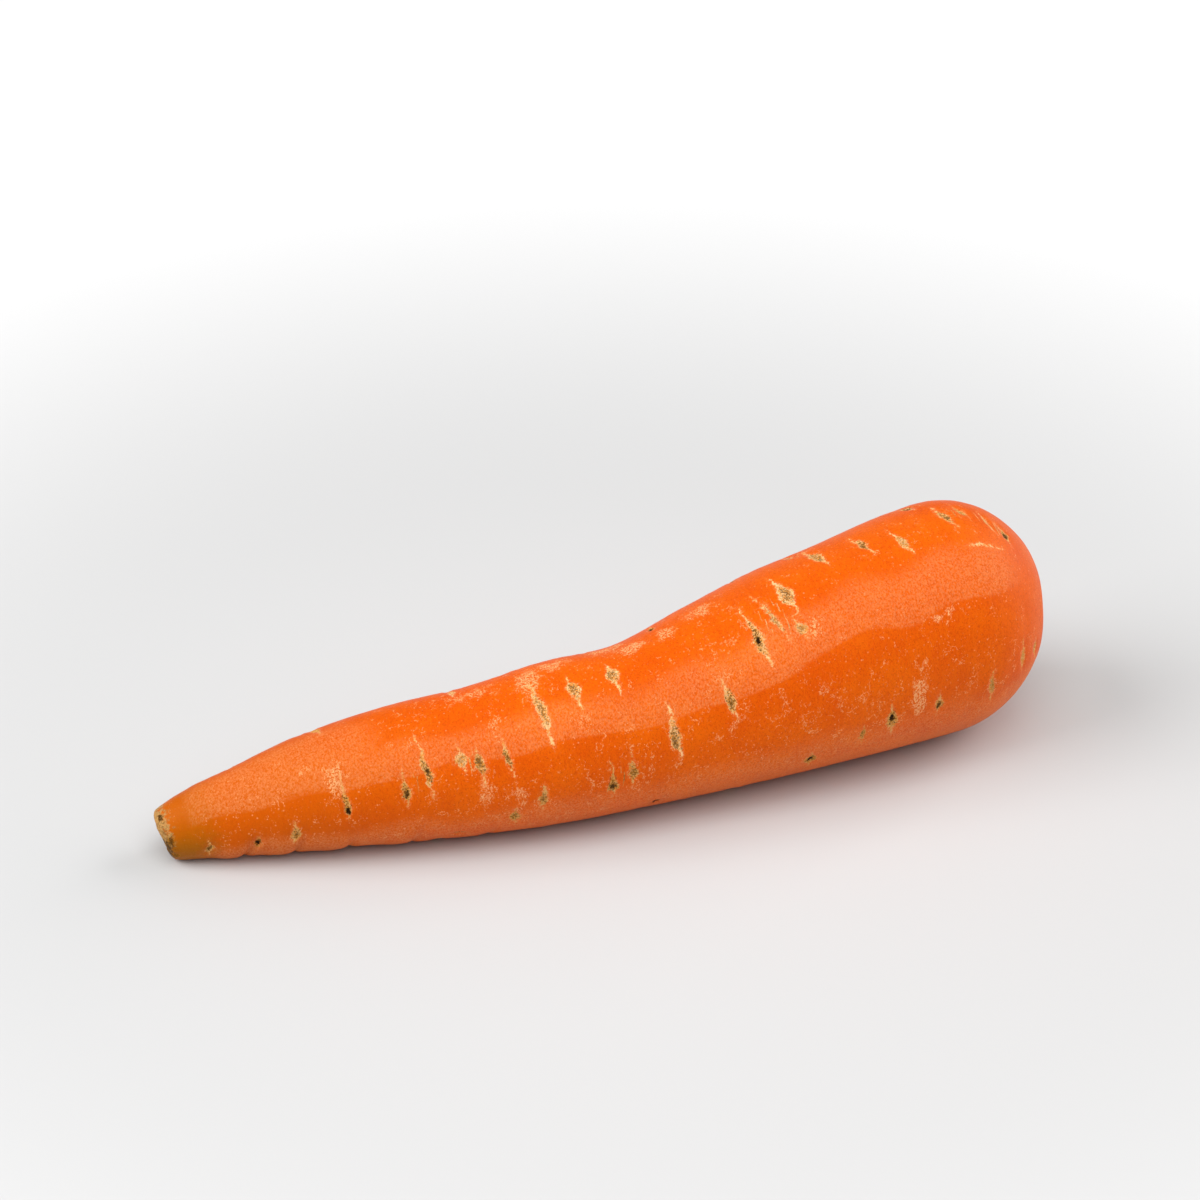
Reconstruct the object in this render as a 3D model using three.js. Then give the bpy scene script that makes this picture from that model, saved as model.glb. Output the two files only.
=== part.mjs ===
// A whole market carrot: one tapering root with a round shoulder, a hollow crown that holds the
// scar of the trimmed leaf stalks, and a tip that was cut off on a slant. It lies on its side.
// Millimetres, +Z up, +X from the tip to the crown. The root rests on Z = 0, and the origin is
// under the middle of its bounding box.

import * as THREE from 'three';

// Length, from the cut tip to the pole of the shoulder's round.
const LENGTH = 180;
const SHOULDER_ROUND = 24;
const SHOULDER_START = LENGTH - SHOULDER_ROUND;

// The girth: the root's radius at distances from the tip.
const GIRTH = [
  [0, 4.8], [6, 6.6], [14, 8.3], [26, 10.7], [42, 12.7], [60, 14.1], [78, 15.8],
  [92, 16.5], [106, 18.2], [120, 20.1], [136, 21.5], [152, 22.8], [168, 23.5],
];

// The bow: how far the middle line stands sideways, towards +Y, at distances from the tip.
const BOW = [[0, 4.4], [35, -0.7], [70, -4.8], [125, -2], [155, 1.6], [180, 4.3]];

// The saddle: a shallow dip over the root's upper back, where it starts to thicken.
const SADDLE_ALONG = 88;
const SADDLE_REACH = 11;
const SADDLE_ANGLE = THREE.MathUtils.degToRad(35);
const SADDLE_DEPTH = 1.2;

// The cut tip: the softened rim of the cut, and the slant that fades out along the root.
const TIP_RIM = 1.1;
const TIP_SLANT = 0.3;
const TIP_SLANT_REACH = 20;

// The crown: a hollow sunk into the shoulder, and the low stalk scar in the middle of it.
const HOLLOW_RADIUS = 12;
const HOLLOW_DEPTH = 3;
const SCAR_RADIUS = 6;
const SCAR_HEIGHT = 1.4;

// Out of round: three soft lobes that wind slowly along the root.
const LOBES = 3;
const LOBE_SWELL = 0.006;
const LOBE_TURN = 0.012;

// How deep the round underside is flattened where it bears on the surface.
const BEARING_FLAT = 0.3;

// Fineness of the mesh.
const SEGMENTS = 40;
const SIDE_RINGS = 42;
const TIP_RINGS = 3;
const SHOULDER_RINGS = 8;
const HOLLOW_RINGS = 8;

const SKIN_COLOUR = 0xe8661c;
const SKIN_ROUGHNESS = 0.5;

function curveThrough(knots) {
  const places = knots.map((knot) => knot[0]);
  const values = knots.map((knot) => knot[1]);
  const curve = new THREE.CubicInterpolant(places, values, 1);
  return (along) => curve.evaluate(along)[0];
}

const girthAt = curveThrough(GIRTH);
const bowAt = curveThrough(BOW);

// How much lower the crown stands than the shoulder's round, at a distance from its middle.
function hollowAt(radius) {
  const bowl = Math.max(0, 1 - (radius / HOLLOW_RADIUS) ** 2);
  const scar = Math.max(0, 1 - (radius / SCAR_RADIUS) ** 4);
  return HOLLOW_DEPTH * bowl ** 2 - SCAR_HEIGHT * scar;
}

// The half outline, from the middle of the cut tip to the middle of the crown.
// Each point is (radius, distance from the tip).
function outline() {
  const points = [new THREE.Vector2(0, 0)];
  for (let i = 0; i <= TIP_RINGS; i++) {
    const turn = (i / TIP_RINGS) * (Math.PI / 2);
    const along = TIP_RIM * (1 - Math.cos(turn));
    points.push(new THREE.Vector2(girthAt(along) - TIP_RIM * (1 - Math.sin(turn)), along));
  }
  for (let i = 1; i <= SIDE_RINGS; i++) {
    const along = THREE.MathUtils.lerp(TIP_RIM, SHOULDER_START, i / SIDE_RINGS);
    points.push(new THREE.Vector2(girthAt(along), along));
  }
  const rimTurn = Math.acos(HOLLOW_RADIUS / girthAt(LENGTH));
  for (let i = 1; i <= SHOULDER_RINGS; i++) {
    const turn = (i / SHOULDER_RINGS) * rimTurn;
    const along = SHOULDER_START + SHOULDER_ROUND * Math.sin(turn);
    points.push(new THREE.Vector2(girthAt(along) * Math.cos(turn), along));
  }
  for (let i = HOLLOW_RINGS - 1; i >= 0; i--) {
    const radius = HOLLOW_RADIUS * (i / HOLLOW_RINGS);
    const turn = Math.acos(radius / girthAt(LENGTH));
    const round = SHOULDER_START + SHOULDER_ROUND * Math.sin(turn);
    points.push(new THREE.Vector2(radius, round - hollowAt(radius)));
  }
  return points;
}

// The height of the lobes at an angle from the top of the root, against that of its underside,
// so that the underside stays where it is.
function lobesAt(angle, along) {
  const phase = LOBE_TURN * along;
  return Math.cos(LOBES * angle + phase) - Math.cos(LOBES * Math.PI + phase);
}

// How deep the saddle is at an angle from the top of the root, towards +Y.
function saddleAt(angle, along) {
  const lengthwise = Math.exp(-(((along - SADDLE_ALONG) / SADDLE_REACH) ** 2));
  return SADDLE_DEPTH * lengthwise * Math.max(0, Math.cos(angle - SADDLE_ANGLE)) ** 2;
}

// Bends the straight, round root to its grown shape and lays it on Z = 0.
function layDown(geometry) {
  const position = geometry.attributes.position;
  const point = new THREE.Vector3();
  for (let i = 0; i < position.count; i++) {
    point.fromBufferAttribute(position, i);
    const along = point.x;
    const angle = Math.atan2(point.y, point.z);
    const evenRadius = Math.hypot(point.y, point.z);
    const lobed = evenRadius * (1 + LOBE_SWELL * lobesAt(angle, along));
    const radius = lobed - saddleAt(angle, along);
    const slant = TIP_SLANT * Math.max(0, 1 - along / TIP_SLANT_REACH) ** 2;
    const middleHeight = girthAt(along) - BEARING_FLAT;
    point.x = along - slant * point.z;
    point.y = radius * Math.sin(angle) + bowAt(along);
    point.z = Math.max(0, radius * Math.cos(angle) + middleHeight);
    position.setXYZ(i, point.x, point.y, point.z);
  }
}

function rootGeometry() {
  const geometry = new THREE.LatheGeometry(outline(), SEGMENTS);
  geometry.rotateZ(-Math.PI / 2);
  layDown(geometry);
  geometry.computeBoundingBox();
  const middle = geometry.boundingBox.getCenter(new THREE.Vector3());
  geometry.translate(-middle.x, -middle.y, 0);
  geometry.computeVertexNormals();
  return geometry;
}

const skin = new THREE.MeshStandardMaterial({
  color: SKIN_COLOUR,
  roughness: SKIN_ROUGHNESS,
  metalness: 0,
});

const root = new THREE.Mesh(rootGeometry(), skin);
root.name = 'carrot_root';

const carrot = new THREE.Group();
carrot.add(root);

export default carrot;
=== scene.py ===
"""A whole market carrot, lying on its side on a pale floor.

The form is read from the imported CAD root, with rays from its middle line. A fine skin is grown
over that form, and side-root scars, creases, the cut tip and the crown's stalk scar are pressed
into it. One procedural material paints it. Lengths are in millimetres until the mesh is made.

Places on the root are given as (along, angle): millimetres from the tip, and degrees from the top
of the root. A negative angle is on the side that faces the camera.
"""

import math

import bpy
import numpy as np
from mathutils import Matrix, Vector
from mathutils.bvhtree import BVHTree


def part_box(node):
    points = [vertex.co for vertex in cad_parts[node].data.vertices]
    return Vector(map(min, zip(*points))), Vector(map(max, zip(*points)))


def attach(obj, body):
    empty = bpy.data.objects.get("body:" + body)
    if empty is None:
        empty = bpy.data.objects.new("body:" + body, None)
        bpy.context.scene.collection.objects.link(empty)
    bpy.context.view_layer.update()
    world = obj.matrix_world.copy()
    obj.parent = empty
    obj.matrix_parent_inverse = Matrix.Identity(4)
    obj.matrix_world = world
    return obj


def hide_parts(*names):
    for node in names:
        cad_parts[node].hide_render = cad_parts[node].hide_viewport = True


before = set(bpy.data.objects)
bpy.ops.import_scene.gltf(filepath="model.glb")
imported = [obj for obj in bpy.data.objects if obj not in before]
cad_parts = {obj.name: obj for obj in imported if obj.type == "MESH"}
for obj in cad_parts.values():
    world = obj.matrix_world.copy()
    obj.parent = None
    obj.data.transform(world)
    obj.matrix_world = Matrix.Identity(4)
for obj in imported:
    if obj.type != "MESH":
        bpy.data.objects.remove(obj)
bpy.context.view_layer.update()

NODE = "carrot_root"
BODY = "root"
SLOT = "carrot_skin"
MM = 0.001

# The grid of the fine skin: columns round the root, the step between rings along its side, and at
# each end the length over which the rays fan out to the pole, and the rings in that fan.
AROUND = 256
RING_STEP = 0.55
TIP_FAN = 5.0
CROWN_FAN = 22.0
TIP_FAN_RINGS = 26
CROWN_FAN_RINGS = 66

# The stretch of the root over which the middle of its section is averaged.
SECTION_SPREAD = 3.0

# How far the CAD facets are smoothed, in rings and columns: little at the cut tip, more past it, and
# the distances from the tip between which the one gives way to the other.
TIP_SMOOTHING = (0.7, 2.5)
SIDE_SMOOTHING = (4.0, 3.5)
TIP_CRISP_END = 5
SIDE_SMOOTH_START = 12

# Side-root scars that show from the front: along, angle, length, width, tilt, how pale its body
# is, how dark its heart is, and where the heart stands from its lower end (-1) to its upper (1).
FRONT_SCARS = [
    (114, -29.5, 16, 2.6, 8, 1.0, 1.0, -0.15),
    (122, -10, 12, 3.6, 8, 1.0, 0.84, -0.2),
    (118, -22, 14, 1.4, 14, 0.85, 0.5, -0.3),
    (122.5, -36, 5, 2.0, 14, 0.75, 0.5, 0.0),
    (106, -60, 9, 2.6, 10, 0.75, 0.85, -0.2),
    (94.8, -68, 12, 2.7, 8, 0.95, 0.85, -0.4),
    (82, -92, 8, 2.4, 6, 0.55, 0.9, -0.5),
    (86, -85, 8, 1.9, 4, 0.6, 0.75, -0.5),
    (78, -25, 8, 2.8, 4, 0.95, 0.8, 0.4),
    (86, -21, 7, 2.7, 6, 0.95, 0.8, 0.4),
    (71, -33, 15, 2.5, 4, 0.9, 0.7, 0.1),
    (33, -67, 9, 1.7, 2, 0.6, 1.0, -0.65),
    (44, -70, 7, 1.9, 4, 0.55, 0.9, -0.3),
    (48, -53, 13, 2.0, 6, 0.7, 0.9, -0.2),
    (54.5, -54, 5, 2.6, 8, 0.8, 0.5, 0.0),
    (58, -62, 7, 2.2, 6, 0.7, 0.85, 0.3),
    (63, -58, 8, 1.9, 8, 0.7, 0.85, -0.1),
    (64, -112, 5, 2.6, 0, 0.55, 0.8, 0.0),
    (69, -97, 6, 2.2, 0, 0.6, 0.75, -0.2),
    (54, -128, 4, 1.2, 70, 0.2, 0.9, 0.0),
    (92, -130, 2.4, 1.8, 0, 0.0, 1.0, 0.0),
    (123, -120, 5, 3.0, 0, 0.5, 1.0, 0.0),
    (132, 11, 11, 2.6, 10, 0.85, 0.7, -0.3),
    (141, 3, 9, 2.0, 12, 0.85, 0.85, -0.2),
    (148, -6.5, 10, 1.9, 12, 0.85, 0.4, -0.2),
    (159, -0.5, 9.5, 1.8, 12, 0.8, 0.85, -0.1),
    (162.8, 3, 7, 1.7, 12, 0.7, 0.5, 0.0),
    (167, -6, 7.5, 1.4, 10, 0.8, 0.2, 0.0),
    (169.8, -13, 6.5, 1.9, 12, 0.8, 0.9, -0.2),
    (163, -25, 7.5, 1.0, 84, 0.85, 0.0, 0.0),
    (149, -101, 5, 2.2, 0, 0.6, 0.9, -0.3),
    (139, -103, 8, 2.8, 4, 0.6, 1.0, 0.1),
    (133, -108, 5, 1.9, 4, 0.5, 0.8, 0.0),
    (168.6, -90, 8, 1.6, 2, 0.55, 0.3, 0.0),
    (174, -93, 4.5, 2.4, 8, 0.6, 0.6, 0.0),
    (160.6, -100, 9, 1.9, 0, 0.55, 0.5, 0.1),
    (1.5, -12, 2.2, 1.5, 0, 0.0, 0.9, 0.0),
    (2.2, -72, 4.0, 2.4, 0, 0.0, 0.88, 0.2),
    (2.6, -112, 3.4, 2.6, 0, 0.0, 0.84, 0.0),
    (8.5, -103, 3.8, 2.2, 0, 0.6, 0.85, 0.0),
    (17, -105, 4.5, 1.3, -12, 0.3, 1.0, 0.0),
    (23.6, -96, 5, 2.6, 4, 0.6, 0.8, -0.3),
]

# The rows of scars on the sides that the front view doesn't show: the angle of each row, and the
# stretch of the root that the rows run over.
HIDDEN_ROWS = (42, 78, 128, 172, -158)
ROW_STARTS = (14, 22)
ROW_END = 172

# Patches of dry, whitish skin: along, angle, half length along the root and round it, strength.
DRY_PATCHES = [
    (144.5, -91, 2.0, 5, 1.0),
    (152, -53, 1.2, 0.9, 0.8),
    (149, -55, 1.2, 0.8, 0.7),
    (88, 18, 5, 2.5, 0.8),
    (92, 6, 3, 3, 0.95),
    (99, 4, 2.5, 2.5, 0.85),
    (107, 9, 3, 2.5, 0.85),
    (77, 9, 4, 2.5, 0.8),
    (71, 0, 3, 4, 0.9),
    (59, 5, 8, 3, 0.5),
    (62, -33, 2, 3, 0.6),
    (106, -34, 3, 4.5, 0.5),
    (27, -33, 1.5, 1.6, 0.7),
    (78, -46, 2, 2.5, 0.6),
    (86, -56, 2, 2, 0.6),
    (58, -78, 2.5, 4, 0.6),
    (64, -100, 4, 6, 0.45),
    (32.5, -52, 2.5, 4, 0.7),
    (46, -28, 3, 5, 0.4),
    (20, -62, 3, 4, 0.3),
    (112, -12, 2, 5, 0.4),
    (125, -39, 2, 2, 0.9),
    # The last three are long and faint, along the underside, and make it paler.
    (162, -100, 12, 8, 0.25),
    (128, -92, 42, 11, 0.25),
    (60, -112, 50, 8, 0.25),
]

# Creases that ring part of the root: along, angle of the middle, half angle, depth.
CREASES = [
    (15.5, -128, 50, 0.6),
    (24.5, -135, 55, 0.55),
    (34, -145, 45, 0.5),
    (46, -140, 40, 0.45),
    (60, -150, 40, 0.3),
    (74, 150, 60, 0.35),
    (96, 130, 70, 0.3),
    (128, 165, 50, 0.3),
    (52, 90, 45, 0.2),
    (30, 75, 60, 0.15),
]

# A scar's relief: the depth of its groove, the height and reach of its lip, and the depth, half
# length and half width of the pit at its heart. SCAR_MARGIN is how far past its edge it may paint,
# and FAR_FROM_SCARS stands for the distance before the first scar is measured.
GROOVE_DEPTH = 0.22
LIP_HEIGHT = 0.05
LIP_REACH = 0.35
PIT_DEPTH = 0.35
PIT_LENGTH = 0.9
PIT_WIDTH = 0.55
SCAR_MARGIN = 1.2
FAR_FROM_SCARS = 9.0

# The crown: the radius of the tuft of cut stalks, how far apart their bases stand and how high, the
# height of the dry sheath round them, the depth of the moat outside it, and the number and height
# of the shoulder's wrinkles. FAR_FROM_CROWN stands for the radius on the other half of the root.
CROWN_STUMP = 6.6
STALK_SPACING = 1.9
STALK_HEIGHT = 0.7
SHEATH_HEIGHT = 0.45
MOAT_DEPTH = 1.9
WRINKLE_COUNT = 23
WRINKLE_HEIGHT = 0.28
FAR_FROM_CROWN = 99.0

# The skin's own unevenness: broad swells, small lumps, shallow rings, and the cut face's roughness.
SWELL_HEIGHT = 0.16
LUMP_HEIGHT = 0.06
RING_HEIGHT = 0.035
CUT_GRAIN_HEIGHT = 0.25
CUT_SWELL_HEIGHT = 0.2

# The seeds of everything random: the hidden scars, and the wide and fine unevenness.
SCAR_SEED = 11
WIDE_SEED = 3
FINE_SEED = 4

# The floor: its side in metres, its grey near the root, painted darker as shade, and its grey away
# from it, the distances from the root's middle between which one turns into the other, and its
# roughness.
FLOOR_SIZE = 8.0
FLOOR_SHADE_GREY = 0.58
FLOOR_GREY = 0.9
FLOOR_NEAR = 110
FLOOR_FAR = 380
FLOOR_ROUGHNESS = 0.8

# The lights: name, place and size in metres, power in watts. Then the light from all round.
STUDIO_LIGHTS = [
    ("left", (-1.4, 0.15, 1.1), (1.4, 1.4), 29),
    ("right", (1.65, 0.05, 0.85), (1.6, 1.4), 23.5),
    ("front", (-0.07, -0.42, 0.77), (0.65, 1.0), 5.0),
]
STUDIO_GREY = 0.9
STUDIO_STRENGTH = 0.28

# The camera: its direction from the root in degrees, its distance from the point it aims at, that
# point, and its lens and sensor, in millimetres.
CAMERA_AZIMUTH = -19.6
CAMERA_ELEVATION = 30
CAMERA_DISTANCE = 616.6
CAMERA_AIM = (0.7, 8.5, 35.5)
CAMERA_LENS = 96
SENSOR_WIDTH = 36


# ---------------------------------------------------------------- small tools

def ramp(low, high, value):
    """0 below low, 1 above high, and a smooth step between them."""
    part = np.clip((value - low) / (high - low), 0, 1)
    return part * part * (3 - 2 * part)


class SoftNoise:
    """A smooth random field in space, from -1 to 1, out of a seeded lattice that repeats."""

    SIZE = 48

    def __init__(self, seed):
        chance = np.random.default_rng(seed)
        self.lattice = chance.uniform(-1, 1, (self.SIZE, self.SIZE, self.SIZE))

    def at(self, points, cell):
        place = points / np.asarray(cell, float)
        corner = np.floor(place).astype(int)
        part = place - corner
        part = part * part * (3 - 2 * part)
        total = 0
        for dx in (0, 1):
            for dy in (0, 1):
                for dz in (0, 1):
                    share = 1
                    for axis, side in enumerate((dx, dy, dz)):
                        share = share * (part[..., axis] if side else 1 - part[..., axis])
                    index = (corner + (dx, dy, dz)) % self.SIZE
                    total = total + share * self.lattice[index[..., 0], index[..., 1], index[..., 2]]
        return total


def soften(field, rings, columns):
    """A Gaussian blur of a grid whose columns run round the root and whose rows stop at its ends."""
    for axis, spread, wraps in ((0, rings, False), (1, columns, True)):
        reach = int(math.ceil(3 * spread))
        if reach < 1:
            continue
        weights = np.exp(-0.5 * (np.arange(-reach, reach + 1) / spread) ** 2)
        weights /= weights.sum()
        padding = [(0, 0), (0, 0)]
        padding[axis] = (reach, reach)
        padded = np.pad(field, padding, mode="wrap" if wraps else "edge")
        count = field.shape[axis]
        field = sum(
            weight * np.take(padded, range(shift, shift + count), axis=axis)
            for shift, weight in enumerate(weights)
        )
    return field


# ---------------------------------------------------------------- the form, read from the CAD root

def read_solid():
    """The CAD root's corners, and a tree to send rays against, in millimetres."""
    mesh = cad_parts[NODE].data
    corners = np.array([tuple(v.co) for v in mesh.vertices]) / MM
    faces = [tuple(p.vertices) for p in mesh.polygons]
    return corners, BVHTree.FromPolygons([Vector(c) for c in corners], faces)


def middle_line(corners, xs):
    """The middle of the root's section at each x."""
    unique = np.unique(corners.round(3), axis=0)
    weights = np.exp(-((xs[:, None] - unique[None, :, 0]) / SECTION_SPREAD) ** 2)
    weights /= weights.sum(axis=1, keepdims=True)
    return weights @ unique[:, 1:]


def rings():
    """For each ring: its distance along the skin, the x its rays start from, and their lean from +X."""
    low, high = (np.array(corner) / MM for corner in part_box(NODE))
    tip_x = low[0] + TIP_FAN
    crown_x = high[0] - CROWN_FAN
    side_count = int((crown_x - tip_x) / RING_STEP)
    quarter = math.pi / 2
    tip_lean = quarter + quarter * np.arange(TIP_FAN_RINGS - 1, 0, -1) / TIP_FAN_RINGS
    side_x = np.linspace(tip_x, crown_x, side_count)
    crown_lean = quarter - quarter * np.arange(1, CROWN_FAN_RINGS) / CROWN_FAN_RINGS
    xs = np.concatenate([np.full(len(tip_lean), tip_x), side_x, np.full(len(crown_lean), crown_x)])
    lean = np.concatenate([tip_lean, np.full(side_count, quarter), crown_lean])
    along = np.concatenate([
        TIP_FAN - TIP_FAN * (tip_lean - quarter),
        side_x - low[0],
        crown_x - low[0] + CROWN_FAN * (quarter - crown_lean),
    ])
    return along, xs, lean


def read_form():
    """The smooth form as a grid of points, with each ring's distance along and each column's angle."""
    corners, solid = read_solid()
    along, xs, lean = rings()
    angles = np.arange(AROUND) * (2 * math.pi / AROUND) - math.pi
    middles = middle_line(corners, xs)
    starts = np.column_stack([xs, middles])
    directions = np.stack([
        np.repeat(np.cos(lean)[:, None], AROUND, axis=1),
        np.sin(lean)[:, None] * np.sin(angles),
        np.sin(lean)[:, None] * np.cos(angles),
    ], axis=-1)
    reach = np.empty(directions.shape[:2])
    for i, start in enumerate(starts):
        origin = Vector(start)
        for j in range(AROUND):
            reach[i, j] = solid.ray_cast(origin, Vector(directions[i, j]))[3]
    crisp = soften(reach, *TIP_SMOOTHING)
    soft = soften(reach, *SIDE_SMOOTHING)
    share = ramp(TIP_CRISP_END, SIDE_SMOOTH_START, along)[:, None]
    reach = crisp * (1 - share) + soft * share
    return along, angles, starts[:, None, :] + reach[..., None] * directions


def normals_of(points):
    """The direction straight out of the skin at each point of the grid."""
    lengthwise = np.gradient(points, axis=0)
    crosswise = np.roll(points, -1, axis=1) - np.roll(points, 1, axis=1)
    normals = np.cross(crosswise, lengthwise)
    normals /= np.linalg.norm(normals, axis=-1, keepdims=True)
    outward = points - points.mean(axis=1, keepdims=True)
    if (normals * outward).sum() < 0:
        normals = -normals
    return normals


# ---------------------------------------------------------------- scars and other marks

def hidden_scars():
    """Scars on the sides that the front view doesn't show, in loose rows along the root."""
    chance = np.random.default_rng(SCAR_SEED)
    scars = []
    for row_angle in HIDDEN_ROWS:
        along = chance.uniform(*ROW_STARTS)
        while along < ROW_END:
            angle = row_angle + chance.normal(0, 9)
            length = chance.uniform(4, 11)
            width = chance.uniform(1.1, 2.4)
            tilt = chance.normal(4, 6)
            pale = chance.uniform(0.4, 1.0)
            dark = chance.choice([0.2, 0.6, 0.9, 1.0])
            heart = chance.uniform(-0.5, 0.5)
            scars.append((along, angle, length, width, tilt, pale, dark, heart))
            along += chance.uniform(6, 17)
    return scars


def wrapped(angle):
    """An angle in degrees, brought between -180 and 180."""
    return (angle + 180) % 360 - 180


def scar_fields(along, angles, girth):
    """Each point's place in its nearest scar, that scar's size and tones, and how deep it is pressed."""
    shape = (len(along), len(angles))
    nearest = np.full(shape, FAR_FROM_SCARS)
    second = np.full(shape, FAR_FROM_SCARS)
    place = np.zeros(shape + (3,))
    size = np.ones(shape + (3,))
    tone = np.zeros(shape + (3,))
    depth = np.zeros(shape)
    degrees = np.degrees(angles)
    for scar in FRONT_SCARS + hidden_scars():
        (scar_along, scar_angle, length, width, tilt, pale, dark, heart) = scar
        round_mm = np.radians(wrapped(degrees - scar_angle))[None, :] * girth[:, None]
        along_mm = (along - scar_along)[:, None]
        turn = math.radians(tilt)
        endways = round_mm * math.cos(turn) - along_mm * math.sin(turn)
        sideways = round_mm * math.sin(turn) + along_mm * math.cos(turn)
        far = np.hypot(endways / (length / 2 + SCAR_MARGIN), sideways / (width / 2 + SCAR_MARGIN))
        closer = far < nearest
        second = np.where(closer, nearest, np.minimum(second, far))
        nearest = np.where(closer, far, nearest)
        place[closer] = np.stack([endways, sideways, np.zeros(shape)], axis=-1)[closer]
        size[closer] = (length / 2, width / 2, heart)
        tone[closer] = (pale, dark, 0)
        groove = np.exp(-(sideways / (0.4 * width + 0.2)) ** 2)
        lip = np.exp(-((np.abs(sideways) - 0.55 * width - 0.3) / LIP_REACH) ** 2)
        lengthwise = ramp(1.0, 0.4, np.abs(endways) / (length / 2 + 0.3))
        from_heart = endways - heart * length / 2
        pit = np.exp(-(from_heart / PIT_LENGTH) ** 2 - (sideways / PIT_WIDTH) ** 2)
        pressed = lengthwise * (GROOVE_DEPTH * groove - LIP_HEIGHT * lip)
        depth += pressed * (0.5 + 0.5 * pale) + PIT_DEPTH * dark * pit
    inside = ramp(1.0, 0.75, nearest) * ramp(0.0, 0.25, second - nearest)
    place[..., 2] = inside
    return place, size, tone, depth


def dry_field(along, angles, girth):
    """How dry and whitish the skin is, from 0 to 1."""
    degrees = np.degrees(angles)
    dry = np.zeros((len(along), len(angles)))
    for (patch_along, patch_angle, half_length, half_round, strength) in DRY_PATCHES:
        round_mm = np.radians(wrapped(degrees - patch_angle))[None, :] * girth[:, None]
        far = ((along - patch_along)[:, None] / half_length) ** 2 + (round_mm / half_round) ** 2
        dry = np.maximum(dry, strength * np.exp(-far))
    return dry


def painted_sheen_field(along, angles, wander):
    """How much sheen is painted on the skin, from 0 to 1: a faint painted highlight band along the front
    shoulder of the root, with a crisp lower edge, a painted highlight on the front of the tip, and
    painted light from the floor on the underside. It also dulls the skin a little."""
    rise = 7 * ramp(105, 140, along)[:, None]
    off = rise - np.degrees(angles)[None, :] + 7 * wander
    # A painted highlight band, with a crisp lower edge.
    band = ramp(14, 50, off) * ramp(62, 56, off)
    band = band * ramp(176, 160, along)[:, None] * ramp(10, 40, along)[:, None]
    # A painted highlight on the front of the tip.
    tip_stretch = (ramp(3, 8, along) * ramp(50, 30, along))[:, None]
    near_tip = ramp(-30, 10, off) * ramp(60, 46, off) * tip_stretch
    # Painted light from the floor on the underside.
    underside = 0.85 * ramp(0.1, -0.5, np.cos(angles)[None, :] + 0.12 * wander)
    return np.maximum(np.maximum(band, near_tip), underside)


def crease_depth(along, angles):
    """How deep the creases are: each a groove that bends a little, with a swelling beside it."""
    degrees = np.degrees(angles)
    depth = np.zeros((len(along), len(angles)))
    for (crease_along, crease_angle, half_angle, deep) in CREASES:
        off = wrapped(degrees - crease_angle)[None, :]
        swing = 0.9 * np.sin(np.radians(off * 2.2))
        beside = (along - crease_along)[:, None] - swing
        groove = np.exp(-(beside / 0.7) ** 2)
        swell = np.exp(-((beside + 3.0) / 2.6) ** 2)
        fade = ramp(1.0, 0.3, np.abs(off) / half_angle)
        depth += deep * fade * (groove - 0.5 * swell)
    return depth


def crown_relief(radius, angles, fine, coarse):
    """How high the crown stands over the smooth form, in millimetres: the cut stalks' bases in the
    hollow, the rim of dry sheath and the moat round them, and the wrinkles of the shoulder."""
    turns = angles[None, :] + 0.5 * coarse
    spiral = np.cos(2 * np.pi * radius / STALK_SPACING + turns + 1.2 * np.sin(3 * turns))
    lobes = 0.55 + 0.45 * np.cos(4 * turns - 1.3 * radius)
    inside = ramp(CROWN_STUMP, CROWN_STUMP - 1.5, radius)
    stalks = inside * (STALK_HEIGHT * spiral * lobes + 0.25 * fine - 0.1)
    sheath_at = CROWN_STUMP + 0.4 * np.sin(5 * turns) + 0.4 * coarse
    sheath = SHEATH_HEIGHT * np.exp(-((radius - sheath_at) / 0.55) ** 2) * (0.6 + 0.8 * fine)
    moat = -MOAT_DEPTH * np.exp(-((radius - CROWN_STUMP - 2.2) / 2.0) ** 2)
    wrinkles = WRINKLE_HEIGHT * np.cos(WRINKLE_COUNT * turns + 2 * fine)
    wrinkles = wrinkles * ramp(12.5, 9, radius) * ramp(6.5, 8.5, radius)
    return stalks + sheath + moat + wrinkles


# ---------------------------------------------------------------- the skin

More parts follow.
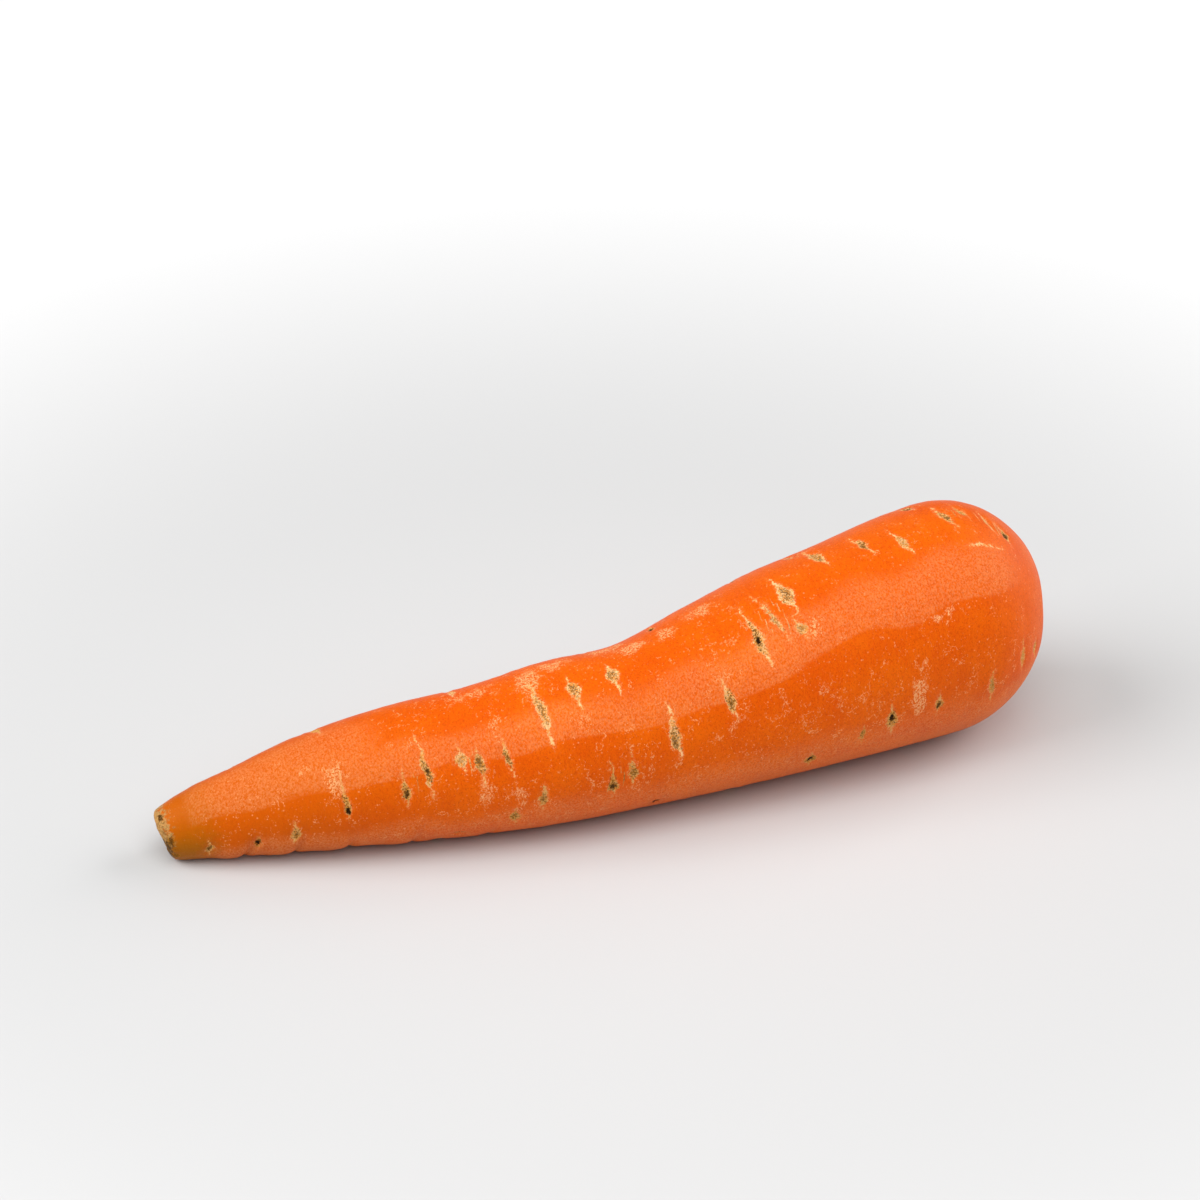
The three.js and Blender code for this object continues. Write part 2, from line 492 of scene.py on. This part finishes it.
def grow_skin():
    """The fine skin: its points, and the fields that its material reads."""
    along, angles, form = read_form()
    middles = form.mean(axis=1, keepdims=True)
    girth = np.linalg.norm((form - middles)[..., 1:], axis=-1).mean(axis=1)
    place, size, tone, scar_depth = scar_fields(along, angles, girth)
    wide = SoftNoise(WIDE_SEED)
    fine = SoftNoise(FINE_SEED)
    side = ramp(1, 6, along)[:, None]
    wobble = SWELL_HEIGHT * wide.at(form, (14, 9, 9)) + LUMP_HEIGHT * fine.at(form, (4, 6, 6))
    ringing = RING_HEIGHT * fine.at(form, (1.3, 9, 9))
    depth = scar_depth * side + crease_depth(along, angles) * side - (wobble + ringing) * side
    tip_end = ramp(3.2, -0.5, along)[:, None]
    cut_grain = CUT_GRAIN_HEIGHT * fine.at(form, (0.9, 0.9, 0.9))
    cut_swell = CUT_SWELL_HEIGHT * wide.at(form, (2, 2, 2))
    depth += tip_end * (cut_grain + cut_swell)
    crown_radius = np.where(along > along[-1] / 2, girth, FAR_FROM_CROWN)[:, None]
    crown_fine = fine.at(form, (0.8, 0.8, 0.8))
    crown_coarse = wide.at(form, (3, 3, 3))
    relief = crown_relief(crown_radius, angles, crown_fine, crown_coarse)
    points = form - normals_of(form) * (depth - relief)[..., None]
    points[..., 2] = np.maximum(points[..., 2], 0)
    dry = dry_field(along, angles, girth)
    # The painted sheen: a highlight band, the tip's front and the underside, painted paler.
    painted_sheen = painted_sheen_field(along, angles, wide.at(form, (9, 9, 9)))
    toward_tip = np.clip(1 - along / 60, 0, 1)[:, None]
    lower = ramp(0.95, -0.1, np.cos(angles))[None, :]
    fields = {
        "scar_place": place,
        "scar_size": size,
        "scar_tone": tone,
        "skin": np.stack(np.broadcast_arrays(dry, painted_sheen, toward_tip), axis=-1),
        "ends": np.stack(np.broadcast_arrays(crown_radius, relief, lower), axis=-1),
    }
    return along, points, fields


def cap_grid(grid):
    """The grid's values as a list, with the mean of its first and last rings as the two poles."""
    flat = grid.reshape(-1, grid.shape[-1])
    return np.vstack([grid[0].mean(axis=0), flat, grid[-1].mean(axis=0)])


def skin_faces(ring_count):
    """Quads between the rings, and a fan of triangles at each pole."""
    column = np.arange(AROUND)
    following = (column + 1) % AROUND
    last = 1 + ring_count * AROUND
    faces = [(0, 1 + int(b), 1 + int(a)) for a, b in zip(column, following)]
    for ring in range(ring_count - 1):
        here = 1 + ring * AROUND
        there = here + AROUND
        faces += [
            (here + int(a), here + int(b), there + int(b), there + int(a))
            for a, b in zip(column, following)
        ]
    final = 1 + (ring_count - 1) * AROUND
    faces += [(last, final + int(a), final + int(b)) for a, b in zip(column, following)]
    return faces


def unwrap(mesh, along, ring_count):
    """Two strips, one for each half of the length, so that the map is finest lengthwise."""
    margin = 0.008
    half = 0.5
    low, high = along[0] - 1, along[-1] + 1
    middle = (low + high) / 2
    layer = mesh.uv_layers.new(name="OFBake")
    places = np.empty((len(mesh.loops), 2))
    for face in mesh.polygons:
        inner = [i for i in face.vertices if 0 < i <= ring_count * AROUND]
        columns = [(i - 1) % AROUND for i in inner]
        if max(columns) - min(columns) > AROUND / 2:
            columns = [column + AROUND if column < AROUND / 2 else column for column in columns]
        column_of = dict(zip(inner, columns))
        centre = sum(column_of.values()) / len(column_of)
        ring_along = [along[(i - 1) // AROUND] for i in inner]
        upper = sum(ring_along) / len(ring_along) > middle
        for loop in face.loop_indices:
            i = mesh.loops[loop].vertex_index
            if i == 0:
                here, column = low, centre
            elif i > ring_count * AROUND:
                here, column = high, centre
            else:
                here, column = along[(i - 1) // AROUND], column_of[i]
            span = (here - (middle if upper else low)) / (high - middle)
            across = column / AROUND * (half - 2 * margin) + margin + (half if upper else 0)
            places[loop] = (margin + span * (1 - 2 * margin), across)
    layer.data.foreach_set("uv", places.ravel())


def build_root(material):
    """The root's mesh, with its fields, its map and its material."""
    along, points, fields = grow_skin()
    ring_count = len(along)
    mesh = bpy.data.meshes.new("carrot")
    mesh.from_pydata((cap_grid(points) * MM).tolist(), [], skin_faces(ring_count))
    mesh.polygons.foreach_set("use_smooth", np.ones(len(mesh.polygons), bool))
    for name, grid in fields.items():
        attribute = mesh.attributes.new(name, "FLOAT_VECTOR", "POINT")
        attribute.data.foreach_set("vector", cap_grid(grid).astype(np.float32).ravel())
    unwrap(mesh, along, ring_count)
    mesh.materials.append(material)
    mesh.validate()
    root = bpy.data.objects.new("carrot", mesh)
    bpy.context.scene.collection.objects.link(root)
    return root


# ---------------------------------------------------------------- the materials

def colour(red, green, blue):
    """A linear colour from the three parts of a screen colour, each from 0 to 255."""
    parts = [part / 255 for part in (red, green, blue)]
    return tuple(p / 12.92 if p <= 0.04045 else ((p + 0.055) / 1.055) ** 2.4 for p in parts) + (1.0,)


def grey(value):
    """A linear grey, from 0 to 1."""
    return (value, value, value, 1)


class Painter:
    """Short calls for the nodes that a material is made of."""

    def __init__(self, name):
        self.material = bpy.data.materials.new(name)
        self.material.use_nodes = True
        self.tree = self.material.node_tree
        self.tree.nodes.clear()

    def node(self, kind, **settings):
        node = self.tree.nodes.new(kind)
        for key, value in settings.items():
            setattr(node, key, value)
        return node

    def set(self, socket, value):
        if isinstance(value, bpy.types.NodeSocket):
            self.tree.links.new(value, socket)
        else:
            socket.default_value = value

    def math(self, operation, first, second=0.0, third=0.0):
        node = self.node("ShaderNodeMath", operation=operation)
        for socket, value in zip(node.inputs, (first, second, third)):
            self.set(socket, value)
        return node.outputs[0]

    def add(self, first, second):
        return self.math("ADD", first, second)

    def times(self, first, second):
        return self.math("MULTIPLY", first, second)

    def less(self, first, second):
        return self.math("SUBTRACT", first, second)

    def greater(self, first, second):
        return self.math("MAXIMUM", first, second)

    def step(self, value, low, high):
        """0 at low, 1 at high. low may be the greater of the two."""
        node = self.node("ShaderNodeMapRange", interpolation_type="SMOOTHSTEP")
        self.set(node.inputs["Value"], value)
        flipped = low > high
        self.set(node.inputs["From Min"], high if flipped else low)
        self.set(node.inputs["From Max"], low if flipped else high)
        self.set(node.inputs["To Min"], 1.0 if flipped else 0.0)
        self.set(node.inputs["To Max"], 0.0 if flipped else 1.0)
        return node.outputs["Result"]

    def mix(self, share, under, over):
        node = self.node("ShaderNodeMix", data_type="RGBA")
        self.set(node.inputs["Factor"], share)
        self.set(node.inputs[6], under)
        self.set(node.inputs[7], over)
        return node.outputs[2]

    def field(self, name):
        """The three parts of a field of the mesh."""
        attribute = self.node("ShaderNodeAttribute", attribute_name=name)
        parts = self.node("ShaderNodeSeparateXYZ")
        self.set(parts.inputs[0], attribute.outputs["Vector"])
        return parts.outputs[0], parts.outputs[1], parts.outputs[2]

    def space(self, cell):
        """The piece's own space, in cells of the given size in millimetres."""
        place = self.node("ShaderNodeTexCoord").outputs["Object"]
        scale = self.node("ShaderNodeVectorMath", operation="MULTIPLY")
        self.set(scale.inputs[0], place)
        self.set(scale.inputs[1], tuple(1 / (MM * side) for side in cell))
        return scale.outputs[0]

    def noise(self, cell, detail=2.0, roughness=0.5):
        """Noise from 0 to 1 with features of about the given size in millimetres along x, y and z."""
        node = self.node("ShaderNodeTexNoise")
        self.set(node.inputs["Vector"], self.space(cell))
        self.set(node.inputs["Scale"], 1.0)
        self.set(node.inputs["Detail"], detail)
        self.set(node.inputs["Roughness"], roughness)
        return node.outputs["Fac"]

    def swing(self, cell, detail=2.0, roughness=0.5):
        """Noise like that, but from -0.5 to 0.5."""
        return self.less(self.noise(cell, detail, roughness), 0.5)

    def veins(self, cell, width):
        """Thin wandering lines: the places where a noise of the given cell crosses its middle."""
        off = self.math("ABSOLUTE", self.swing((cell, cell, cell), 3.0, 0.6))
        return self.step(off, width, 0.3 * width)

    def dots(self, cell, radius):
        """Round dots, one in each cell, that fade out at the radius. Both are in millimetres."""
        node = self.node("ShaderNodeTexVoronoi")
        self.set(node.inputs["Vector"], self.space((cell, cell, cell)))
        self.set(node.inputs["Scale"], 1.0)
        return self.step(node.outputs["Distance"], radius / cell, 0.4 * radius / cell)


# The colours of the skin, of what is dry on it and of its painted sheen, of the scars, of the cut tip
# and of the crown.
SKIN_ORANGE = colour(222, 87, 2)
SKIN_DEEP = colour(210, 73, 2)
SKIN_YELLOW = colour(228, 97, 3)
SKIN_TIP = colour(194, 84, 2)
SKIN_SHADE = colour(178, 58, 1)
SKIN_PINK = colour(228, 102, 10)
# The pale of dry skin, which also colours the painted sheen.
DRY_AND_SHEEN_WHITE = colour(244, 176, 118)
SCAR_WHITE = colour(246, 196, 142)
SCAR_CREAM = colour(230, 158, 82)
SCAR_OLIVE = colour(198, 132, 40)
SCAR_BROWN = colour(104, 66, 18)
SCAR_BLACK = colour(38, 16, 6)
TIP_TAN = colour(178, 134, 78)
TIP_BROWN = colour(54, 34, 18)
TIP_OLIVE = colour(160, 92, 2)
CROWN_OLIVE = colour(166, 118, 26)
CROWN_GREEN = colour(152, 136, 66)
CROWN_TAN = colour(198, 160, 96)
CROWN_BROWN = colour(84, 58, 28)

# How the skin takes the light: a low, warm shine, a little glow from just under the surface, and
# the height of its finest grain.
SKIN_ROUGHNESS = 0.4
SKIN_IOR = 1.45
SKIN_SHINE = 0.16
SHINE_TINT = (1.0, 0.85, 0.3, 1.0)
GLOW_WEIGHT = 0.1
GLOW_REACH = 1.2
GLOW_REACH_BY_COLOUR = (1.0, 0.35, 0.1)
GRAIN_HEIGHT = 0.14


def paint_scars(paint, skin):
    """Lays the scars over the skin. Gives the new colour, and masks of the scars and of their pits."""
    endways, sideways, inside = paint.field("scar_place")
    half_length, half_width, heart = paint.field("scar_size")
    pale, dark, _ = paint.field("scar_tone")
    grain = paint.swing((0.38, 0.38, 0.38), 2.0, 0.7)
    rough = paint.swing((1.2, 1.2, 1.2), 2.0, 0.6)
    bend = paint.swing((3.0, 3.0, 3.0), 1.0)
    warped = paint.add(sideways, paint.add(paint.times(bend, 1.8), paint.times(rough, 0.7)))
    across = paint.math("ABSOLUTE", warped)

    heart_at = paint.times(heart, half_length)
    off = paint.less(endways, heart_at)
    above = paint.math("DIVIDE", off, paint.less(half_length, heart_at))
    below = paint.math("DIVIDE", off, paint.add(half_length, heart_at))
    far = paint.greater(above, paint.times(below, -1.0))
    lens = paint.less(0.9, paint.math("POWER", paint.times(far, 1.3), 1.5))
    tail = paint.times(paint.step(far, 1.1, 0.8), 0.22)
    width = paint.times(paint.greater(lens, tail), half_width)
    edge = paint.add(paint.less(width, across), grain)
    edge = paint.add(edge, paint.times(rough, 1.2))
    there = paint.times(inside, paint.step(pale, 0.0, 0.5))
    frayed = paint.times(paint.step(edge, -0.5, 0.1), paint.step(grain, -0.12, 0.12))
    skin = paint.mix(paint.times(paint.times(frayed, there), 0.22), skin, DRY_AND_SHEEN_WHITE)
    body = paint.times(paint.step(edge, -0.08, 0.3), there)
    blotch = paint.noise((0.45, 0.45, 0.45), 2.0, 0.7)
    body_colour = paint.mix(paint.step(blotch, 0.4, 0.6), SCAR_CREAM, SCAR_WHITE)
    yellowed = paint.times(paint.step(pale, 1.0, 0.3), 0.8)
    body_colour = paint.mix(yellowed, body_colour, SCAR_OLIVE)
    covers = paint.add(0.98, paint.times(paint.step(blotch, 0.5, 0.38), -0.4))
    skin = paint.mix(paint.times(body, covers), skin, body_colour)

    core_width = paint.add(paint.times(half_width, 0.55), 0.15)
    from_heart = paint.math("SQRT", paint.add(
        paint.math("POWER", paint.times(far, 2.0), 2.0),
        paint.math("POWER", paint.math("DIVIDE", warped, core_width), 2.0),
    ))
    strength = paint.times(inside, dark)
    core = paint.less(1.0, from_heart)
    olive = paint.times(paint.step(paint.add(core, paint.times(grain, 2.4)), -0.1, 0.4), strength)
    skin = paint.mix(paint.times(olive, 0.5), skin, SCAR_OLIVE)
    speckle = paint.swing((0.34, 0.34, 0.34), 2.0, 0.8)
    speckled = paint.step(paint.add(paint.less(core, 0.45), paint.times(speckle, 7.0)), 0.0, 0.5)
    speckled = paint.times(paint.times(speckled, strength), paint.step(core, -0.35, 0.1))
    skin = paint.mix(paint.times(speckled, 0.9), skin, SCAR_BROWN)
    reach = paint.math("SQRT", paint.add(
        paint.math("POWER", paint.times(off, 0.55), 2.0),
        paint.math("POWER", warped, 2.0),
    ))
    pit_edge = paint.add(paint.less(0.45, reach), grain)
    pit = paint.times(paint.step(pit_edge, 0.0, 0.15), paint.step(strength, 0.8, 0.95))
    skin = paint.mix(pit, skin, SCAR_BLACK)
    return skin, paint.greater(body, olive), paint.greater(speckled, pit)


def paint_film_and_sheen(paint, skin, dry, painted_sheen_share):
    """Lays dry flecks, thin scratches, fine specks and a grainy painted sheen over the skin. Gives the
    colour and a mask of them all.
    """
    grain = paint.noise((0.34, 0.45, 0.45), 3.0, 0.75)
    cloud = paint.noise((2.6, 3.4, 3.4), 4.0, 0.7)
    patchy = paint.step(paint.add(paint.times(dry, 0.5), cloud), 0.68, 0.86)
    flecks = paint.times(patchy, paint.step(grain, 0.46, 0.54))
    scratches = paint.times(paint.veins(2.8, 0.02), paint.step(grain, 0.42, 0.52))
    scratches = paint.times(scratches, paint.step(paint.add(paint.times(dry, 0.4), cloud), 0.54, 0.66))
    dusty = paint.add(cloud, paint.times(dry, 0.3))
    specks = paint.times(paint.dots(1.5, 0.24), paint.step(dusty, 0.4, 0.5))
    specks = paint.greater(specks, paint.times(paint.dots(0.8, 0.17), paint.step(dusty, 0.42, 0.6)))
    film_and_sheen = paint.greater(paint.times(flecks, 0.85), paint.times(scratches, 0.6))
    film_and_sheen = paint.greater(film_and_sheen, paint.times(specks, 0.4))
    # A grainy painted sheen: painted highlight on the band and the tip, and painted floor light on the
    # underside.
    painted_sheen = paint.times(paint.step(painted_sheen_share, 0.2, 0.8), paint.step(grain, 0.38, 0.62))
    film_and_sheen = paint.greater(film_and_sheen, paint.times(painted_sheen, 0.26))
    return paint.mix(film_and_sheen, skin, DRY_AND_SHEEN_WHITE), film_and_sheen


def paint_skin(paint, tip):
    """The bare skin's colour, and the two noises that its roughness and grain share with it."""
    broad = paint.noise((26, 16, 16), 2.0)
    cloudy = paint.noise((5, 7, 7), 3.0)
    ringed = paint.noise((0.9, 7, 7), 3.0, 0.6)
    mottled = paint.noise((0.5, 0.7, 0.7), 3.0, 0.7)
    skin = paint.mix(paint.step(broad, 0.35, 0.65), SKIN_ORANGE, SKIN_YELLOW)
    skin = paint.mix(paint.times(paint.step(cloudy, 0.4, 0.75), 0.4), skin, SKIN_DEEP)
    skin = paint.mix(paint.times(paint.step(ringed, 0.5, 0.8), 0.3), skin, SKIN_PINK)
    skin = paint.mix(paint.times(paint.step(mottled, 0.5, 0.65), 0.5), skin, SKIN_DEEP)
    skin = paint.mix(paint.times(paint.step(mottled, 0.46, 0.3), 0.4), skin, SKIN_PINK)
    pores = paint.step(paint.noise((0.28, 0.36, 0.36), 2.0, 0.8), 0.5, 0.66)
    skin = paint.mix(paint.times(pores, 0.45), skin, SKIN_SHADE)
    skin = paint.mix(paint.times(paint.step(tip, 0.0, 0.8), 0.75), skin, SKIN_TIP)
    return skin, ringed, mottled


def paint_tip(paint, skin, tip, lower, tip_noise):
    """Turns the skin olive toward the tip, and lays the brown and tan cut face over its end."""
    toward_tip = paint.add(tip, paint.times(paint.less(tip_noise, 0.5), 0.1))
    # The olive, and the brown of the cut face, are stronger on the lower side.
    olive = paint.times(paint.step(toward_tip, 0.78, 0.93), paint.add(0.35, paint.times(lower, 0.6)))
    skin = paint.mix(olive, skin, TIP_OLIVE)
    tan_share = paint.step(paint.less(tip_noise, paint.times(lower, 0.26)), 0.22, 0.46)
    cut_colour = paint.mix(tan_share, TIP_BROWN, TIP_TAN)
    cut_grain = paint.noise((0.45, 0.45, 0.45), 3.0, 0.75)
    dark_grain = paint.times(paint.step(cut_grain, 0.5, 0.62), 0.65)
    cut_colour = paint.mix(dark_grain, cut_colour, SCAR_BROWN)
    pale_grain = paint.times(paint.step(cut_grain, 0.46, 0.34), 0.4)
    cut_colour = paint.mix(pale_grain, cut_colour, SCAR_CREAM)
    return paint.mix(paint.step(toward_tip, 0.95, 0.97), skin, cut_colour)


def paint_crown(paint, skin, crown_radius, relief):
    """Lays the olive shoulder and the cut stalks over the crown. Gives the colour, and the distance
    from the crown's middle with a ragged edge."""
    crown_noise = paint.noise((1.4, 0.9, 0.9), 4.0, 0.7)
    ragged_radius = paint.add(crown_radius, paint.times(paint.less(crown_noise, 0.5), 7.0))
    skin = paint.mix(paint.times(paint.step(ragged_radius, 13.0, 8.0), 0.6), skin, CROWN_OLIVE)
    # The stalks are brown where the relief is low, between them, and green and tan where it is high.
    ridges = paint.step(paint.add(relief, paint.times(paint.less(crown_noise, 0.5), 1.6)), -0.7, 0.1)
    ridge_colour = paint.mix(paint.step(crown_noise, 0.4, 0.6), CROWN_GREEN, CROWN_TAN)
    stalk_colour = paint.mix(ridges, CROWN_BROWN, ridge_colour)
    skin = paint.mix(paint.step(ragged_radius, 8.2, 6.8), skin, stalk_colour)
    return skin, ragged_radius


def skin_material():
    """The whole root's material: the skin, what lies on it, its painted sheen, its roughness and its
    finest grain.
    """
    paint = Painter(SLOT)
    # The skin field holds the dry patches, the painted sheen and the nearness of the tip.
    dry, painted_sheen, tip = paint.field("skin")
    crown_radius, relief, lower = paint.field("ends")
    skin, ringed, mottled = paint_skin(paint, tip)
    skin, film_and_sheen = paint_film_and_sheen(paint, skin, dry, painted_sheen)
    tip_noise = paint.noise((1.1, 1.1, 1.1), 4.0, 0.7)
    skin = paint_tip(paint, skin, tip, lower, tip_noise)
    skin, ragged_radius = paint_crown(paint, skin, crown_radius, relief)
    skin, scars, pits = paint_scars(paint, skin)

    rough_end = paint.greater(paint.step(tip, 0.96, 0.985), paint.step(ragged_radius, 9.0, 7.0))
    roughness = paint.add(SKIN_ROUGHNESS, paint.times(mottled, 0.12))
    roughness = paint.add(roughness, paint.times(film_and_sheen, 0.2))
    roughness = paint.add(roughness, paint.times(scars, 0.25))
    roughness = paint.add(roughness, paint.times(rough_end, 0.3))

    height = paint.times(ringed, 0.5)
    height = paint.add(height, paint.times(mottled, 0.5))
    height = paint.add(height, paint.times(film_and_sheen, 0.2))
    height = paint.less(height, paint.times(pits, 1.2))
    height = paint.add(height, paint.times(rough_end, paint.times(tip_noise, 1.5)))
    bump = paint.node("ShaderNodeBump")
    paint.set(bump.inputs["Height"], height)
    bump.inputs["Distance"].default_value = GRAIN_HEIGHT * MM
    bump.inputs["Strength"].default_value = 1.0

    shader = paint.node("ShaderNodeBsdfPrincipled")
    paint.set(shader.inputs["Base Color"], skin)
    paint.set(shader.inputs["Roughness"], roughness)
    paint.set(shader.inputs["Normal"], bump.outputs["Normal"])
    shader.inputs["IOR"].default_value = SKIN_IOR
    shader.inputs["Specular IOR Level"].default_value = SKIN_SHINE
    shader.inputs["Specular Tint"].default_value = SHINE_TINT
    shader.inputs["Subsurface Weight"].default_value = GLOW_WEIGHT
    shader.inputs["Subsurface Radius"].default_value = GLOW_REACH_BY_COLOUR
    shader.inputs["Subsurface Scale"].default_value = GLOW_REACH * MM
    output = paint.node("ShaderNodeOutputMaterial")
    paint.set(output.inputs["Surface"], shader.outputs["BSDF"])
    return paint.material


# ---------------------------------------------------------------- floor, light and camera

def lay_floor():
    """A wide pale floor, painted darker round the root as a pool of painted shade, so that it throws
    less light up at it.
    """
    paint = Painter("pale_floor")
    shader = paint.node("ShaderNodeBsdfPrincipled")
    reach = paint.node("ShaderNodeVectorMath", operation="LENGTH")
    paint.set(reach.inputs[0], paint.space((1, 1, 1)))
    away = paint.step(reach.outputs["Value"], FLOOR_NEAR, FLOOR_FAR)
    # Painted shade: the floor is a darker grey round the root.
    paint.set(shader.inputs["Base Color"], paint.mix(away, grey(FLOOR_SHADE_GREY), grey(FLOOR_GREY)))
    shader.inputs["Roughness"].default_value = FLOOR_ROUGHNESS
    output = paint.node("ShaderNodeOutputMaterial")
    paint.set(output.inputs["Surface"], shader.outputs["BSDF"])
    mesh = bpy.data.meshes.new("floor")
    half = FLOOR_SIZE / 2
    corners = [(-half, -half, 0), (half, -half, 0), (half, half, 0), (-half, half, 0)]
    mesh.from_pydata(corners, [], [(0, 1, 2, 3)])
    mesh.materials.append(paint.material)
    floor = bpy.data.objects.new("floor", mesh)
    bpy.context.scene.collection.objects.link(floor)


def hang_light(name, place, size, power):
    """A soft light aimed at the root, in metres and watts. Its size is its width and height."""
    data = bpy.data.lights.new(name, "AREA")
    data.shape = "RECTANGLE"
    data.size, data.size_y = size
    data.energy = power
    light = bpy.data.objects.new(name, data)
    light.location = place
    light.rotation_euler = (-Vector(place)).to_track_quat("-Z", "Y").to_euler()
    bpy.context.scene.collection.objects.link(light)


def light_scene():
    """The studio lights and the dim, even light from all round."""
    for (name, place, size, power) in STUDIO_LIGHTS:
        hang_light(name, place, size, power)
    world = bpy.data.worlds.new("studio")
    world.use_nodes = True
    background = world.node_tree.nodes["Background"]
    background.inputs["Color"].default_value = grey(STUDIO_GREY)
    background.inputs["Strength"].default_value = STUDIO_STRENGTH
    bpy.context.scene.world = world
    bpy.context.scene.view_settings.view_transform = "Standard"


def place_camera():
    """The camera, which looks down at the root from in front, a little from its tip's side."""
    azimuth, elevation = math.radians(CAMERA_AZIMUTH), math.radians(CAMERA_ELEVATION)
    forward = Vector((
        -math.sin(azimuth) * math.cos(elevation),
        math.cos(azimuth) * math.cos(elevation),
        -math.sin(elevation),
    ))
    data = bpy.data.cameras.new("camera")
    data.lens = CAMERA_LENS
    data.sensor_width = SENSOR_WIDTH
    camera = bpy.data.objects.new("camera", data)
    camera.location = (Vector(CAMERA_AIM) - forward * CAMERA_DISTANCE) * MM
    camera.rotation_euler = forward.to_track_quat("-Z", "Y").to_euler()
    bpy.context.scene.collection.objects.link(camera)
    bpy.context.scene.camera = camera


root = build_root(skin_material())
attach(root, BODY)
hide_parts(NODE)
lay_floor()
light_scene()
place_camera()
